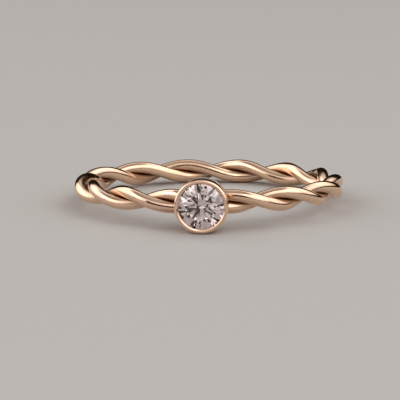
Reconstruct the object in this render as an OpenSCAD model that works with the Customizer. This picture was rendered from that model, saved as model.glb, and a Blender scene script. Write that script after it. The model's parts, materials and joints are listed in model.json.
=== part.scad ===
// Twisted shank ring with one round stone in a bezel.
// The ring lies on its side on the plane z = 0, with the bezel towards -Y.
// The origin is under the middle of the whole ring. Millimetres.

/* [Finger] */
// Diameter of the finger hole, inside the shank
finger_d = 17.35; // [14:0.05:22]

/* [Shank] */
// Diameter of each strand's round wire
wire_d = 0.91; // [0.7:0.01:1.3]
// Full turns that the strands make round each other in the whole ring
twist_turns = 7; // [5:1:10]
// Gap between the strands where they cross
strand_gap = 0.02; // [0.01:0.005:0.06]
// Flats round each strand's wire
wire_flats = 12; // [10:2:16]
// Sections of each strand in one full turn
turn_sections = 20; // [16:4:24]

/* [Stone] */
// Diameter of the stone at its girdle
stone_d = 3.65; // [2.5:0.05:5]
// Width of the table across its corners, in percent of the stone's diameter
table_percent = 57; // [53:1:64]
// Slope of the crown's main facets
crown_angle = 34.5; // [31:0.5:37]
// Slope of the pavilion's main facets
pavilion_angle = 40.8; // [39.6:0.2:42.4]
// Reach of the star facets from the table's edge to the girdle, in percent
star_percent = 50; // [40:5:60]
// Reach of the lower half facets from the girdle to the middle, in percent
lower_half_percent = 77; // [70:1:85]
// Height of the girdle
girdle_h = 0.1; // [0.05:0.01:0.2]
// Width of the small flat at the stone's point
culet_d = 0.06; // [0.04:0.01:0.12]
// Turn of the facets about the stone's axis
facet_turn = 10; // [0:2.5:45]

/* [Bezel] */
// Thickness of the bezel's wall beside the girdle
bezel_wall = 0.17; // [0.12:0.01:0.5]
// Clearance between the stone and the bezel
stone_gap = 0.02; // [0.01:0.005:0.05]
// Reach of the lip over the girdle
lip_over = 0.12; // [0.03:0.005:0.2]
// Height of the rim above the girdle
lip_rise = 0.25; // [0.22:0.01:0.4]
// Radius of the rim's outer edge
rim_round = 0.08; // [0.04:0.01:0.11]
// Height of the straight part of the wall, below the rim
straight_h = 0.9; // [0.5:0.05:1.4]
// Taper of the wall, from the straight part to the foot
foot_taper = 0.08; // [0.02:0.01:0.3]
// Width of the ledge that carries the stone
ledge_w = 0.3; // [0.15:0.01:0.6]
// Clearance under the stone's point
culet_gap = 0.06; // [0.03:0.01:0.3]
// Thickness of the cup's floor
floor_t = 0.35; // [0.3:0.01:0.8]
// Depth of the soldered strand in the cup's floor
solder_depth = 0.2; // [0.1:0.01:0.28]

/* [Hidden] */

gold = "#dcb184";
clear_stone = "#e6dfe8";
round_fn = 96;

full_turn = 360;
half_turn = full_turn / 2;
quarter_turn = full_turn / 4;

// Shank: the strands' centre lines wind at strand_offset round a circle of radius band_r
wire_r = wire_d / 2;
strand_offset = wire_r + strand_gap / 2;
band_r = finger_d / 2 + wire_r + strand_offset;
shank_r = band_r + strand_offset + wire_r;
sections = turn_sections * twist_turns;
section_step = full_turn / sections;

// Stone: its own axis is +Z, with z = 0 at the bezel's foot
mains = 8;
main_step = full_turn / mains;
half_step = main_step / 2;
quarter_step = main_step / 4;
stone_r = stone_d / 2;
table_r = stone_r * table_percent / 100;
table_side_r = table_r * cos(half_step);
girdle_chord_r = stone_r * cos(quarter_step);
crown_h = (stone_r - table_r) * tan(crown_angle);
culet_z = floor_t + culet_gap;
girdle_low = culet_z + (stone_r - culet_d / 2) * tan(pavilion_angle);
girdle_high = girdle_low + girdle_h;
facet_depth = 2 * stone_d;

// The star and upper half facets meet at star_r, the lower half facets at lower_r
star_r = table_side_r + (stone_r - table_side_r) * star_percent / 100;
star_rise = (stone_r - star_r * cos(half_step)) * tan(crown_angle);
star_angle = atan2(crown_h - star_rise, star_r - table_side_r);
upper_angle = atan2(star_rise, (stone_r - star_r) * cos(quarter_step));
lower_r = stone_r * (1 - lower_half_percent / 100);
lower_drop = (stone_r - lower_r * cos(half_step)) * tan(pavilion_angle);
lower_angle = atan2(lower_drop, (stone_r - lower_r) * cos(quarter_step));

// Bezel: the seat and the lip lie along the half facets, stone_gap away from the girdle
seat_r = stone_r + stone_gap;
bezel_r = seat_r + bezel_wall;
mouth_r = stone_r - lip_over;
rim_z = girdle_high + lip_rise;
mouth_z = girdle_high + (seat_r - mouth_r) * tan(upper_angle);
bore_r = seat_r - ledge_w;
bore_z = girdle_low - ledge_w * tan(lower_angle);
foot_r = bezel_r - foot_taper;
foot_reach = shank_r - solder_depth;

// Rest: the bezel's wall and the last low bends before the back of the ring touch z = 0
shoulder_reach = foot_reach + rim_z - straight_h;
back_bend = band_r * cos(quarter_turn / twist_turns);
rest_tilt = max(tilt_on(shoulder_reach, bezel_r), tilt_on(foot_reach, foot_r));
rest_lift = back_bend * sin(rest_tilt) + strand_offset * cos(rest_tilt) + wire_r;
rim_reach = foot_reach + rim_z - rim_round;
rim_drop = bezel_r - rim_round;
rim_front = rim_reach * cos(rest_tilt) + rim_drop * sin(rest_tilt) + rim_round;
table_reach = foot_reach + girdle_high + crown_h;
table_front = table_reach * cos(rest_tilt) + table_side_r * sin(rest_tilt);
shank_back = (band_r + strand_offset) * cos(rest_tilt) + wire_r;
rest_shift = (max(rim_front, table_front) - shank_back) / 2;

// Tilt of a ring that rests on its back bends and on a round edge of the bezel
function tilt_on(edge_reach, edge_r) =
    let (reach = edge_reach + back_bend)
    let (drop = edge_r - strand_offset)
    atan2(drop, reach) - asin(wire_r / norm([reach, drop]));

// Centre of a strand's wire at an angle round the ring, measured from the bezel
function strand_centre(angle, phase) =
    let (swing = phase - twist_turns * angle)
    let (reach = band_r + strand_offset * cos(swing))
    [reach * sin(angle), -reach * cos(angle), strand_offset * sin(swing)];

function unit(v) = v / norm(v);

// Points round a strand's wire at one section
function wire_section(angle, phase) =
    let (centre = strand_centre(angle, phase))
    let (ahead = strand_centre(angle + section_step / 2, phase))
    let (behind = strand_centre(angle - section_step / 2, phase))
    let (along = unit(ahead - behind))
    let (up = unit([0, 0, 1] - along[2] * along))
    let (out = cross(along, up))
    [for (flat = [0 : wire_flats - 1])
        let (turn = full_turn * flat / wire_flats)
        centre + wire_r * (cos(turn) * out + sin(turn) * up)];

function point_index(section, flat) = (section % sections) * wire_flats + flat % wire_flats;

// Closed loop of wire, wound round the shank's middle circle
module strand(phase) {
    points = [for (section = [0 : sections - 1]) each wire_section(section * section_step, phase)];
    faces = [for (section = [0 : sections - 1], flat = [0 : wire_flats - 1])
        let (near = point_index(section, flat))
        let (near_next = point_index(section, flat + 1))
        let (far = point_index(section + 1, flat))
        let (far_next = point_index(section + 1, flat + 1))
        each [[near, far_next, far], [near, near_next, far_next]]];
    polyhedron(points = points, faces = faces);
}

// Half of the cup's section, with the rim's outer edge rounded
module bezel_section() {
    polygon([
        [0, 0],
        [foot_r, 0],
        [bezel_r, rim_z - straight_h],
        [bezel_r, rim_z - rim_round],
        [bezel_r - rim_round, rim_z],
        [mouth_r, rim_z],
        [mouth_r, mouth_z],
        [seat_r, girdle_high],
        [seat_r, girdle_low],
        [bore_r, bore_z],
        [bore_r, floor_t],
        [0, floor_t]
    ]);
    translate([bezel_r - rim_round, rim_z - rim_round])
        circle(r = rim_round, $fn = round_fn);
}

module bezel() {
    rotate_extrude($fn = round_fn)
        bezel_section();
}

// Pyramid whose eight sides slope down from the given reach and height
module facets(side, slope, reach, height) {
    rotate([0, 0, facet_turn + side + half_step])
        translate([0, 0, height - facet_depth])
            cylinder(
                r1 = (reach + facet_depth / tan(slope)) / cos(half_step),
                r2 = 0,
                h = facet_depth + reach * tan(slope),
                $fn = mains
            );
}

module crown_facets() {
    intersection() {
        facets(0, crown_angle, stone_r, 0);
        facets(half_step, star_angle, table_side_r, crown_h);
        facets(quarter_step, upper_angle, girdle_chord_r, 0);
        facets(-quarter_step, upper_angle, girdle_chord_r, 0);
    }
}

module pavilion_facets() {
    intersection() {
        facets(0, pavilion_angle, stone_r, 0);
        facets(quarter_step, lower_angle, girdle_chord_r, 0);
        facets(-quarter_step, lower_angle, girdle_chord_r, 0);
    }
}

module brilliant() {
    intersection() {
        translate([0, 0, culet_z])
            cylinder(r = stone_r, h = girdle_high + crown_h - culet_z, $fn = round_fn);
        translate([0, 0, girdle_high])
            crown_facets();
        translate([0, 0, girdle_low])
            mirror([0, 0, 1])
                pavilion_facets();
    }
}

// Turns the cup's axis outwards at the front of the ring
module at_bezel() {
    translate([0, -foot_reach, 0])
        rotate([quarter_turn, 0, 0])
            children();
}

// Lays the ring down on the plane z = 0
module at_rest() {
    translate([0, rest_shift, rest_lift])
        rotate([-rest_tilt, 0, 0])
            children();
}

module strand_with_bezel() {
    color(gold)
        at_rest() {
            strand(0);
            at_bezel()
                bezel();
        }
}

module second_strand() {
    color(gold)
        at_rest()
            strand(half_turn);
}

module stone() {
    color(clear_stone)
        at_rest()
            at_bezel()
                brilliant();
}

strand_with_bezel();
second_strand();
stone();
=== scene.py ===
import json
from math import atan, atan2, cos, hypot, pi, radians, sin, tan

import bmesh
import bpy
from mathutils import Matrix, Vector

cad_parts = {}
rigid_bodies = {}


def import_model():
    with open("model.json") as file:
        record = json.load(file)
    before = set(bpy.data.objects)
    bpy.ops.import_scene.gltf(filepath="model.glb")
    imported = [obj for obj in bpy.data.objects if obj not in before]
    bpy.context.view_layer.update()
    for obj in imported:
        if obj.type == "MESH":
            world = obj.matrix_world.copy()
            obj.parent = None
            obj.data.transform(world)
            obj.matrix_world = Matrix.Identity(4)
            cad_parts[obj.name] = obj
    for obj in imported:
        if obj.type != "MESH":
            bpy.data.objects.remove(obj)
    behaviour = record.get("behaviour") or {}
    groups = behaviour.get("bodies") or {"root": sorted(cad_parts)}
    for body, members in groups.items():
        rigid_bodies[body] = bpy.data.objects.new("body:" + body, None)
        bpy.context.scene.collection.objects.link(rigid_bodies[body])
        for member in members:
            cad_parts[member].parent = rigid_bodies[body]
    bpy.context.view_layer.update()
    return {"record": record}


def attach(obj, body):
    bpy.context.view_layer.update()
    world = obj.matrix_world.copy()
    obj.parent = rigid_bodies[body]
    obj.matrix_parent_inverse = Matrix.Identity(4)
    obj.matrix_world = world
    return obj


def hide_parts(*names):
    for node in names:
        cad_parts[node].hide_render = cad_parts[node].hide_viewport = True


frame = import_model()
mm = 0.001
weld = 0.001 * mm  # points closer than this are one

# each piece is made with the ring's axis upright and the bezel to the front, and then laid down
fingerHole = frame["record"]["mounts"][0]
ringCentre = Vector(fingerHole["pos_m"])
ringAxis = Vector(fingerHole["axis"]).normalized()
lean = atan2(ringAxis.y, ringAxis.z)


def clearSelection():
    if bpy.context.object and bpy.context.object.mode != "OBJECT":
        bpy.ops.object.mode_set(mode="OBJECT")
    bpy.ops.object.select_all(action="DESELECT")


def named(name):
    piece = bpy.context.object
    piece.name = name
    piece.data.name = name
    return piece


def editAll():
    bpy.ops.object.mode_set(mode="EDIT")
    bpy.ops.mesh.select_all(action="SELECT")


def addModifier(piece, kind, **settings):
    modifier = piece.modifiers.new(kind.lower(), kind)
    for key, value in settings.items():
        setattr(modifier, key, value)
    bpy.ops.object.modifier_apply(modifier=modifier.name)


def keepPlaces(piece):
    # the piece's own coordinates before it is wound or laid down, which its finish follows
    places = piece.data.attributes.new("madeAt", "FLOAT_VECTOR", "CORNER")
    for corner, place in zip(piece.data.loops, places.data):
        place.vector = piece.data.vertices[corner.vertex_index].co


def layDown(piece):
    piece.location = ringCentre
    piece.rotation_euler = (-lean, 0, 0)
    bpy.ops.object.transform_apply(location=True, rotation=True, scale=True)


# lengths are in mm and angles in degrees, but the studio is in metres; the spread is from the middle
# of one wire to the middle of the other, a little under their thickness, so they press together
shank = {
    "wire": 0.92,
    "spread": 0.91,
    "turns": 7,
    "sides": 32,
    "sections": 308,
}
wireRadius = shank["wire"] * mm / 2
swing = shank["spread"] * mm / 2
bandRadius = (fingerHole["dims"]["r_mm"] + shank["wire"]) * mm
bandLength = 2 * pi * bandRadius


def twistedStrand(name, side):
    # a straight wire beside the axis, twisted and then bent round until its ends meet
    clearSelection()
    step = bandLength / shank["sections"]
    # the wire slants where it is twisted, so its section is made wider there and comes out round
    lay = atan(shank["turns"] * swing / bandRadius)
    bpy.ops.mesh.primitive_cylinder_add(
        vertices=shank["sides"], radius=wireRadius, depth=step, end_fill_type="NOTHING",
        location=(step / 2 - bandLength / 2, -side * swing, 0), rotation=(0, pi / 2, 0),
        scale=(1 / cos(lay), 1, 1))
    strand = named(name)
    bpy.ops.object.transform_apply(location=True, rotation=True, scale=True)
    addModifier(strand, "ARRAY", count=shank["sections"], use_relative_offset=False,
                use_constant_offset=True, constant_offset_displace=(step, 0, 0),
                use_merge_vertices=True, merge_threshold=weld)
    keepPlaces(strand)
    addModifier(strand, "SIMPLE_DEFORM", deform_method="TWIST", deform_axis="X",
                angle=2 * pi * shank["turns"])
    addModifier(strand, "SIMPLE_DEFORM", deform_method="BEND", deform_axis="Z", angle=2 * pi)
    editAll()
    bpy.ops.mesh.remove_doubles(threshold=weld)
    bpy.ops.mesh.normals_make_consistent(inside=False)
    bpy.ops.transform.translate(value=(0, -bandRadius, 0))
    bpy.ops.object.mode_set(mode="OBJECT")
    bpy.ops.object.shade_smooth()
    return strand


firstStrand = twistedStrand("first_strand", 1)
layDown(firstStrand)
secondStrand = twistedStrand("second_strand_wire", -1)
layDown(secondStrand)
print("shank twisted")

stoneCut = {
    "girdle": 3.65,
    "table": 0.57,
    "crown": 34.5,
    "pavilion": 40.8,
    "star": 0.5,
    "lowerHalf": 0.77,
    "girdleHeight": 0.1,
    "culet": 0.06,
    "mains": 8,
    "turn": 10,
    "girdleSides": 96,
    "upright": 0.1,
    "tolerance": 0.00001,
}
setting = {
    "floor": 0.35,
    "culetGap": 0.06,
    "solderDepth": 0.2,
    "clearance": 0.02,
    "wall": 0.17,
    "lipOver": 0.12,
    "lipRise": 0.25,
    "rimSlope": (0.13, 0.075),
    "mouthSlope": (0.13, 0.075),
    "rimRound": (0.06, 0.04, 0.04),
    "rimSteps": 5,
    "footRound": 0.06,
    "footSteps": 4,
    "straight": 0.9,
    "taper": 0.08,
    "ledge": 0.3,
    "sides": 128,
    "sharpAngle": 30,
}
stoneRadius = stoneCut["girdle"] * mm / 2
footReach = bandRadius + 2 * wireRadius - setting["solderDepth"] * mm
culetHeight = (setting["floor"] + setting["culetGap"]) * mm
pavilionReach = stoneRadius - stoneCut["culet"] * mm / 2
girdleLow = culetHeight + pavilionReach * tan(radians(stoneCut["pavilion"]))
girdleHigh = girdleLow + stoneCut["girdleHeight"] * mm
rimHeight = girdleHigh + setting["lipRise"] * mm


def toFront(piece):
    # the cup's axis, +Z so far, turns to the front of the ring
    piece.rotation_euler = (pi / 2, 0, 0)
    piece.location = (0, -footReach, 0)
    bpy.ops.object.transform_apply(location=True, rotation=True, scale=True)


def brilliant(name):
    clearSelection()
    mains = stoneCut["mains"]
    eighth = 2 * pi / mains
    turn = radians(stoneCut["turn"])
    crown, pavilion = radians(stoneCut["crown"]), radians(stoneCut["pavilion"])
    tableRadius = stoneRadius * stoneCut["table"]
    tableSide = tableRadius * cos(eighth / 2)
    crownHeight = (stoneRadius - tableRadius) * tan(crown)
    chord = stoneRadius * cos(eighth / 4)
    starReach = tableSide + (stoneRadius - tableSide) * stoneCut["star"]
    starRise = (stoneRadius - starReach * cos(eighth / 2)) * tan(crown)
    starSlope = atan2(crownHeight - starRise, starReach - tableSide)
    upperSlope = atan2(starRise, (stoneRadius - starReach) * cos(eighth / 4))
    lowerReach = stoneRadius * (1 - stoneCut["lowerHalf"])
    lowerDrop = (stoneRadius - lowerReach * cos(eighth / 2)) * tan(pavilion)
    lowerSlope = atan2(lowerDrop, (stoneRadius - lowerReach) * cos(eighth / 4))
    top = girdleHigh + crownHeight
    bpy.ops.mesh.primitive_cylinder_add(
        vertices=stoneCut["girdleSides"], radius=stoneRadius, depth=top - culetHeight,
        location=(0, 0, (top + culetHeight) / 2))
    stone = named(name)
    bpy.ops.object.transform_apply(location=True, rotation=True, scale=True)
    bpy.ops.object.mode_set(mode="EDIT")

    def facet(side, slope, reach, height, upward):
        normal = Vector((sin(slope) * cos(side), sin(slope) * sin(side), cos(slope) * upward))
        bpy.ops.mesh.select_all(action="SELECT")
        bpy.ops.mesh.bisect(
            plane_co=(reach * cos(side), reach * sin(side), height), plane_no=normal,
            use_fill=True, clear_outer=True, threshold=stoneCut["tolerance"] * mm)

    for main in range(mains):
        side = turn + main * eighth
        facet(side, pavilion, stoneRadius, girdleLow, -1)
        facet(side, crown, stoneRadius, girdleHigh, 1)
    for half in range(2 * mains):
        side = turn + (half + 0.5) * eighth / 2
        facet(side, lowerSlope, chord, girdleLow, -1)
        facet(side, upperSlope, chord, girdleHigh, 1)
    for star in range(mains):
        side = turn + (star + 0.5) * eighth
        facet(side, starSlope, tableSide, top, 1)
    bpy.ops.mesh.select_all(action="SELECT")
    bpy.ops.mesh.normals_make_consistent(inside=False)
    bpy.ops.object.mode_set(mode="OBJECT")
    for face in stone.data.polygons:
        # the girdle's faces stand upright
        face.material_index = 1 if abs(face.normal.z) < stoneCut["upright"] else 0
    keepPlaces(stone)
    toFront(stone)
    layDown(stone)
    return stone, upperSlope, lowerSlope


stone, upperSlope, lowerSlope = brilliant("brilliant_stone")
print("stone cut with", len(stone.data.polygons), "faces")


def roundEdge(piece, radius, height, width, segments):
    # bevels the circle of edges that lies at this radius and height
    mesh = bmesh.from_edit_mesh(piece.data)
    bpy.ops.mesh.select_all(action="DESELECT")
    for edge in mesh.edges:
        reach = [hypot(hypot(v.co.x, v.co.y) - radius, v.co.z - height) for v in edge.verts]
        edge.select_set(max(reach) < weld)
    bmesh.update_edit_mesh(piece.data)
    bpy.ops.mesh.bevel(offset=width, segments=segments, profile=0.5, affect="EDGES")


def bezelCup(name):
    clearSelection()
    seat = stoneRadius + setting["clearance"] * mm
    outer = seat + setting["wall"] * mm
    mouth = stoneRadius - setting["lipOver"] * mm
    bore = seat - setting["ledge"] * mm
    foot = outer - setting["taper"] * mm
    rimWidth, rimFall = [size * mm for size in setting["rimSlope"]]
    mouthWidth, mouthFall = [size * mm for size in setting["mouthSlope"]]
    steps = [
        (outer, rimHeight - setting["straight"] * mm),
        (outer, rimHeight - rimFall),
        (outer - rimWidth, rimHeight),
        (mouth + mouthWidth, rimHeight),
        (mouth, rimHeight - mouthFall),
        (mouth, girdleHigh + (seat - mouth) * tan(upperSlope)),
        (seat, girdleHigh),
        (seat, girdleLow),
        (bore, girdleLow - setting["ledge"] * mm * tan(lowerSlope)),
        (bore, setting["floor"] * mm),
    ]
    bpy.ops.mesh.primitive_circle_add(vertices=setting["sides"], radius=foot, fill_type="NGON")
    cup = named(name)
    editAll()
    bpy.ops.mesh.select_mode(type="EDGE")
    radius, height = foot, 0
    for nextRadius, nextHeight in steps:
        bpy.ops.mesh.extrude_edges_move(TRANSFORM_OT_translate={"value": (0, 0, nextHeight - height)})
        bpy.ops.transform.resize(value=(nextRadius / radius, nextRadius / radius, 1))
        radius, height = nextRadius, nextHeight
    bpy.ops.mesh.edge_face_add()
    bpy.ops.mesh.select_all(action="SELECT")
    bpy.ops.mesh.remove_doubles(threshold=weld)
    bpy.ops.mesh.normals_make_consistent(inside=False)
    roundEdge(cup, foot, 0, setting["footRound"] * mm, setting["footSteps"])
    for (radius, height), width in zip(steps[1:4], setting["rimRound"]):
        roundEdge(cup, radius, height, width * mm, setting["rimSteps"])
    # extruding numbers the new faces in another order each run, so they are sorted by their corners
    skin = bmesh.from_edit_mesh(cup.data)
    skin.verts.index_update()
    skin.faces.sort(key=lambda face: sum(corner.index ** 3 for corner in face.verts))
    bmesh.update_edit_mesh(cup.data)
    bpy.ops.object.mode_set(mode="OBJECT")
    bpy.ops.object.shade_smooth_by_angle(angle=radians(setting["sharpAngle"]))
    keepPlaces(cup)
    toFront(cup)
    layDown(cup)
    return cup


bezel = bezelCup("bezel_cup")
print("bezel raised")

solder = {
    "reach": 1.55,
    "slab": 0.15,
    "sides": 64,
    "grain": 0.035,
    "softness": 0.5,
    "passes": 60,
    "sink": 0.005,
}


def solderSeam(name):
    # a length of the strand and a slab of the cup's foot, melted into one: smoothing fills the
    # corner between them, and the rest sinks just under the wire and the foot
    seam = twistedStrand(name, 1)
    reach, slab = solder["reach"] * mm, solder["slab"] * mm
    bpy.ops.object.mode_set(mode="EDIT")
    for place, outwards in (
            ((reach, 0, 0), (1, 0, 0)), ((-reach, 0, 0), (-1, 0, 0)), ((0, 0, 0), (0, 1, 0))):
        bpy.ops.mesh.select_all(action="SELECT")
        bpy.ops.mesh.bisect(plane_co=place, plane_no=outwards, use_fill=True, clear_outer=True)
    bpy.ops.mesh.primitive_cylinder_add(
        vertices=solder["sides"], radius=reach, depth=slab,
        location=(0, -footReach - slab / 2, 0), rotation=(pi / 2, 0, 0))
    bpy.ops.object.mode_set(mode="OBJECT")
    addModifier(seam, "REMESH", mode="VOXEL", voxel_size=solder["grain"] * mm)
    addModifier(seam, "SMOOTH", factor=solder["softness"], iterations=solder["passes"])
    # the remesher leaves pinholes inside, so only what hangs together with the end face stays
    bpy.ops.object.mode_set(mode="EDIT")
    bpy.ops.mesh.select_all(action="DESELECT")
    skin = bmesh.from_edit_mesh(seam.data)
    max(skin.faces, key=lambda face: face.calc_center_median().x).select_set(True)
    bmesh.update_edit_mesh(seam.data)
    bpy.ops.mesh.select_linked()
    bpy.ops.mesh.select_all(action="INVERT")
    bpy.ops.mesh.delete(type="VERT")
    bpy.ops.mesh.select_all(action="SELECT")
    bpy.ops.mesh.normals_make_consistent(inside=False)
    bpy.ops.transform.shrink_fatten(value=-solder["sink"] * mm)
    bpy.ops.object.mode_set(mode="OBJECT")
    bpy.ops.object.shade_smooth()
    layDown(seam)
    return seam


seam = solderSeam("solder_seam")
print("cup soldered on,", len(seam.data.polygons), "faces in the seam")


def newMaterial(name):
    material = bpy.data.materials.new(name)
    material.use_nodes = True
    return material.node_tree, material.node_tree.nodes["Principled BSDF"], material


def addNode(tree, kind, inputs=None, **settings):
    node = tree.nodes.new("ShaderNode" + kind)
    for key, value in settings.items():
        setattr(node, key, value)
    for key, value in (inputs or {}).items():
        if isinstance(value, bpy.types.NodeSocket):
            tree.links.new(value, node.inputs[key])
        else:
            node.inputs[key].default_value = value
    return node


def stretched(tree, places, scale):
    return addNode(tree, "Mapping", {"Vector": places, "Scale": scale}).outputs["Vector"]


def grain(tree, places, scale, detail=2):
    inputs = {"Vector": places, "Scale": scale, "Detail": detail}
    return addNode(tree, "TexNoise", inputs).outputs["Fac"]


def ranged(tree, value, start, end, low, high):
    inputs = {"Value": value, "From Min": start, "From Max": end, "To Min": low, "To Max": high}
    return addNode(tree, "MapRange", inputs).outputs["Result"]


def blend(tree, share, first, second):
    return addNode(tree, "Mix", {0: share, 6: first, 7: second}, data_type="RGBA").outputs[2]


def clouded(tree, places, scale, first, second):
    # two colours in soft patches
    return blend(tree, ranged(tree, grain(tree, places, scale), 0.35, 0.7, 0, 1), first, second)


def uneven(tree, marks, limits, top=0.7):
    # roughness between two limits, as the marks go
    low, high = limits
    return ranged(tree, marks, 0.3, top, low, high)


def bumped(tree, height, distance, normal=None):
    inputs = {"Height": height, "Strength": 1.0, "Distance": distance * mm}
    if normal:
        inputs["Normal"] = normal
    return addNode(tree, "Bump", inputs).outputs["Normal"]


def maths(tree, operation, *values):
    return addNode(tree, "Math", dict(enumerate(values)), operation=operation).outputs[0]


gold = {
    "rosy": (0.94, 0.70, 0.565, 1),
    "yellow": (0.94, 0.735, 0.545, 1),
    "cup": (0.94, 0.725, 0.575, 1),
    # painted shade for the hollow between the wires
    "grooveShade": (0.77, 0.59, 0.455, 1),
    # painted shade: the dark line where the wires press and the cup's mouth under the lip
    "paintedShade": (0.36, 0.22, 0.14, 1),
    "roughness": (0.07, 0.2),
    "solder": (0.92, 0.765, 0.585, 1),
    "solderRoughness": (0.2, 0.4),
    "hammering": 0.014,
    "drawLines": 0.0016,
}
# scales of the marks, how far in mm the painted shade in the hollow between the wires and the painted
# contact shadow where they press reach from the middle of the twist, and how much the hollow is dulled
wireMarks = {
    "smudges": 900,
    "clouds": 260,
    "grooveShade": (0.15, 0.36),
    "paintedShade": (0.03, 0.13),
    "grooveDulling": 0.18,
    "lines": (500, 16000, 16000),
    "dents": (420, 900, 900),
}


def wireGold(name):
    # drawn wire, polished by hand: long faint lines, soft dents, painted shade darkening the hollow between
    # the wires and a painted contact shadow where they press together
    tree, shader, material = newMaterial(name)
    madeAt = addNode(tree, "Attribute", attribute_name="madeAt").outputs["Vector"]
    places = addNode(tree, "TexCoord").outputs["Object"]
    sides = addNode(tree, "SeparateXYZ", {0: madeAt})
    away = maths(tree, "ABSOLUTE", sides.outputs["Y"])
    smudges = grain(tree, places, wireMarks["smudges"], detail=4)
    # painted shade: the gold turns darker, browner and duller towards the hollow between the two wires
    deep, shallow = wireMarks["grooveShade"]
    grooveDepth = ranged(tree, away, deep * mm, shallow * mm, 1, 0)
    # painted contact shadow: a thin dark brown line where the two wires press together, patchy as the
    # smudges go
    full, none = wireMarks["paintedShade"]
    paintedShade = ranged(tree, away, full * mm, none * mm, 1, 0)
    paintedShade = maths(tree, "MULTIPLY", paintedShade, ranged(tree, smudges, 0.3, 0.7, 0.5, 1))
    colour = clouded(tree, places, wireMarks["clouds"], gold["rosy"], gold["yellow"])
    colour = blend(tree, grooveDepth, colour, gold["grooveShade"])
    tree.links.new(blend(tree, paintedShade, colour, gold["paintedShade"]), shader.inputs["Base Color"])
    shader.inputs["Metallic"].default_value = 1
    roughness = uneven(tree, smudges, gold["roughness"], top=0.72)
    dulling = maths(tree, "MULTIPLY", grooveDepth, wireMarks["grooveDulling"])
    tree.links.new(maths(tree, "ADD", roughness, dulling), shader.inputs["Roughness"])
    lines = grain(tree, stretched(tree, madeAt, wireMarks["lines"]), scale=1)
    dents = grain(tree, stretched(tree, madeAt, wireMarks["dents"]), scale=1, detail=1)
    normal = bumped(tree, dents, gold["hammering"])
    normal = bumped(tree, lines, gold["drawLines"], normal)
    tree.links.new(normal, shader.inputs["Normal"])
    return material


# scales of the marks, their share of the wire's bumps, and where in mm below the rim the painted shade
# inside the mouth begins
cupMarks = {
    "smudges": 1100,
    "clouds": 300,
    "paintedShade": (0.16, 0.02),
    "strokes": (1300, 1300, 500),
    "strokeShare": 0.7,
    "lines": (18000, 18000, 1),
    "lineShare": 0.5,
}


def cupGold(name):
    # turned cup, burnished over the stone: faint rings, uneven strokes round the rim, and painted shade on
    # the mouth's inner wall under the lip
    tree, shader, material = newMaterial(name)
    madeAt = addNode(tree, "Attribute", attribute_name="madeAt").outputs["Vector"]
    places = addNode(tree, "TexCoord").outputs["Object"]
    sides = addNode(tree, "SeparateXYZ", {0: madeAt})
    flat = stretched(tree, madeAt, (1, 1, 0))
    reach = addNode(tree, "VectorMath", {0: flat}, operation="LENGTH").outputs["Value"]
    height = sides.outputs["Z"]
    rings = addNode(tree, "CombineXYZ", {"X": reach, "Y": height}).outputs["Vector"]
    smudges = grain(tree, places, cupMarks["smudges"], detail=4)
    # painted shade: the inner wall of the mouth, below the rim and above the girdle, is darkened to dark
    # brown
    inside = maths(tree, "LESS_THAN", reach, stoneRadius - 0.5 * setting["lipOver"] * mm)
    full, none = cupMarks["paintedShade"]
    below = ranged(tree, height, rimHeight - full * mm, rimHeight - none * mm, 1, 0)
    above = maths(tree, "GREATER_THAN", height, girdleLow)
    shade = maths(tree, "MULTIPLY", maths(tree, "MULTIPLY", inside, below), above)
    colour = clouded(tree, places, cupMarks["clouds"], gold["rosy"], gold["cup"])
    tree.links.new(blend(tree, shade, colour, gold["paintedShade"]), shader.inputs["Base Color"])
    shader.inputs["Metallic"].default_value = 1
    tree.links.new(uneven(tree, smudges, gold["roughness"], top=0.72), shader.inputs["Roughness"])
    strokes = grain(tree, stretched(tree, madeAt, cupMarks["strokes"]), scale=1)
    lines = grain(tree, stretched(tree, rings, cupMarks["lines"]), scale=1)
    normal = bumped(tree, strokes, gold["hammering"] * cupMarks["strokeShare"])
    normal = bumped(tree, lines, gold["drawLines"] * cupMarks["lineShare"], normal)
    tree.links.new(normal, shader.inputs["Normal"])
    return material


solderMarks = {
    "ripples": 5000,
    "clouds": 1500,
    "rippleShare": 0.5,
}


def solderGold(name):
    # solder flows paler and duller than the wire, with fine ripples
    tree, shader, material = newMaterial(name)
    places = addNode(tree, "TexCoord").outputs["Object"]
    ripples = grain(tree, places, solderMarks["ripples"], detail=3)
    colour = clouded(tree, places, solderMarks["clouds"], gold["yellow"], gold["solder"])
    tree.links.new(colour, shader.inputs["Base Color"])
    shader.inputs["Metallic"].default_value = 1
    tree.links.new(uneven(tree, ripples, gold["solderRoughness"]), shader.inputs["Roughness"])
    normal = bumped(tree, ripples, gold["hammering"] * solderMarks["rippleShare"])
    tree.links.new(normal, shader.inputs["Normal"])
    return material


diamond = {
    "colour": (0.955, 0.825, 0.83, 1),
    "index": 2.417,
    "film": 1400,
    "filmRoughness": 0.02,
    "girdlePits": 26000,
    "girdleDepth": 0.002,
    "girdleRoughness": (0.25, 0.5),
}


def clearStone(name):
    # polished facets with the faintest film of handling on them
    tree, shader, material = newMaterial(name)
    madeAt = addNode(tree, "Attribute", attribute_name="madeAt").outputs["Vector"]
    film = grain(tree, madeAt, diamond["film"], detail=3)
    roughness = ranged(tree, film, 0.55, 0.75, 0, diamond["filmRoughness"])
    shader.inputs["Base Color"].default_value = diamond["colour"]
    tree.links.new(roughness, shader.inputs["Roughness"])
    shader.inputs["IOR"].default_value = diamond["index"]
    shader.inputs["Transmission Weight"].default_value = 1
    return material


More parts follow.
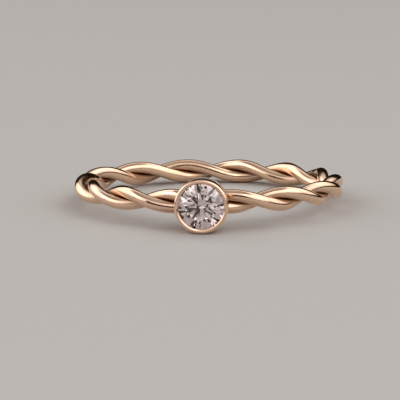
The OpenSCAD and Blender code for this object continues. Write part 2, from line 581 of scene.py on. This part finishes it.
def brutedGirdle(name):
    # the girdle is ground round and left matt
    tree, shader, material = newMaterial(name)
    madeAt = addNode(tree, "Attribute", attribute_name="madeAt").outputs["Vector"]
    pits = grain(tree, madeAt, diamond["girdlePits"], detail=3)
    shader.inputs["Base Color"].default_value = diamond["colour"]
    tree.links.new(uneven(tree, pits, diamond["girdleRoughness"]), shader.inputs["Roughness"])
    tree.links.new(bumped(tree, pits, diamond["girdleDepth"]), shader.inputs["Normal"])
    shader.inputs["IOR"].default_value = diamond["index"]
    shader.inputs["Transmission Weight"].default_value = 1
    return material


wireFinish = wireGold("polished_gold_wire")
cupFinish = cupGold("burnished_gold_cup")
for piece, node, finish in (
        (firstStrand, "strand_with_bezel", wireFinish),
        (secondStrand, "second_strand", wireFinish),
        (bezel, "strand_with_bezel", cupFinish),
        (seam, "strand_with_bezel", solderGold("gold_solder"))):
    piece.data.materials.append(finish)
    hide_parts(node)
    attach(piece, "root")
stone.data.materials.append(clearStone("diamond_facets"))
stone.data.materials.append(brutedGirdle("diamond_girdle"))
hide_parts("stone")
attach(stone, "root")
print("finishes given")

camera = {
    "azimuth": 3.007,
    "elevation": 10.433,
    "distance": 260,
    "lens": 302.1,
    "roll": -0.25,
    "aimRight": -0.728,
    "aimUp": -1.117,
    "near": 10,
    "far": 10000,
}


def setCamera():
    azimuth, elevation = radians(camera["azimuth"]), radians(camera["elevation"])
    back = Vector((sin(azimuth) * cos(elevation), -cos(azimuth) * cos(elevation), sin(elevation)))
    right = Vector((0, 0, 1)).cross(back).normalized()
    up = back.cross(right)
    roll = radians(camera["roll"])
    right, up = right * cos(roll) + up * sin(roll), up * cos(roll) - right * sin(roll)
    aim = ringCentre + (right * camera["aimRight"] + up * camera["aimUp"]) * mm
    data = bpy.data.cameras.new("camera")
    data.lens = camera["lens"]
    data.clip_start = camera["near"] * mm
    data.clip_end = camera["far"] * mm
    holder = bpy.data.objects.new("camera", data)
    bpy.context.scene.collection.objects.link(holder)
    turn = Matrix((right, up, back)).transposed().to_4x4()
    holder.matrix_world = Matrix.Translation(aim + back * camera["distance"] * mm) @ turn
    bpy.context.scene.camera = holder


setCamera()

studio = {
    "floor": (0.62, 0.612, 0.606, 1),
    "floorSize": 2,
    "floorBack": 0.2,
    "floorRoughness": 0.8,
    "floorShine": 0.2,
    "glow": (1.0, 0.965, 0.945),
    "room": (0.026, 0.018, 0.012, 1),
    "edge": 0.14,
    "rimGlow": 0.62,
    "look": "High Contrast",
    "exposure": -0.31,
}

clearSelection()
bpy.ops.mesh.primitive_plane_add(size=studio["floorSize"], location=(0, studio["floorBack"], 0))
floor = named("floor")
tree, shader, material = newMaterial("pale_floor")
shader.inputs["Base Color"].default_value = studio["floor"]
shader.inputs["Roughness"].default_value = studio["floorRoughness"]
shader.inputs["Specular IOR Level"].default_value = studio["floorShine"]
floor.data.materials.append(material)

# softboxes round the ring, the front one above the camera: bearing from the front and rise in
# degrees, distance, width and height in metres, brightness
softboxes = {
    "front_left_softbox": (-62, 27, 0.50, 0.46, 0.54, 1.35),
    "front_right_softbox": (44, 33, 0.50, 0.58, 0.62, 1.28),
    "left_softbox": (-111, 27, 0.50, 0.72, 0.66, 1.4),
    "right_softbox": (104, 40, 0.50, 0.80, 0.64, 1.22),
    "front_softbox": (-6, 42, 0.55, 0.56, 0.50, 0.85),
    "back_softbox": (180, 52, 0.55, 0.86, 0.38, 0.78),
    "top_softbox": (-90, 87, 0.80, 0.82, 1.0, 0.46),
}


def softbox(name, bearing, rise, distance, width, height, radiance):
    # the cloth glows most in the middle, less towards its rim, and fades out at the edges
    clearSelection()
    turn = Matrix.Rotation(radians(bearing), 4, "Z") @ Matrix.Rotation(-radians(rise), 4, "X")
    place = turn @ Vector((0, -distance, 0))
    bpy.ops.object.light_add(type="AREA", location=place)
    light = bpy.context.object
    light.name = name
    light.data.shape = "RECTANGLE"
    light.data.color = studio["glow"]
    light.data.size = width
    light.data.size_y = height
    light.data.energy = radiance * pi * width * height  # as bright to look at, whatever its size
    light.rotation_euler = (-place).to_track_quat("-Z", "Y").to_euler()
    light.data.use_nodes = True
    tree = light.data.node_tree
    across = addNode(tree, "SeparateXYZ", {0: addNode(tree, "NewGeometry").outputs["Parametric"]})
    glow = 1.0
    for side in ("X", "Y"):
        fromEdge = maths(tree, "PINGPONG", across.outputs[side], 0.5)  # 0.5 in the middle
        fade = addNode(tree, "MapRange", {"Value": fromEdge, "From Max": studio["edge"]},
                       interpolation_type="SMOOTHSTEP").outputs["Result"]
        slope = addNode(tree, "MapRange", {"Value": fromEdge, "From Max": 0.5, "To Min": studio["rimGlow"]},
                        interpolation_type="SMOOTHSTEP").outputs["Result"]
        glow = maths(tree, "MULTIPLY", glow, maths(tree, "MULTIPLY", fade, slope))
    tree.links.new(glow, tree.nodes["Emission"].inputs["Strength"])


for name, placing in softboxes.items():
    softbox(name, *placing)

world = bpy.data.worlds.new("studio")
bpy.context.scene.world = world
world.use_nodes = True
world.node_tree.nodes["Background"].inputs["Color"].default_value = studio["room"]
view = bpy.context.scene.view_settings
view.view_transform = "Standard"
view.look = studio["look"]
view.exposure = studio["exposure"]
print("studio lit by", len(softboxes), "softboxes")
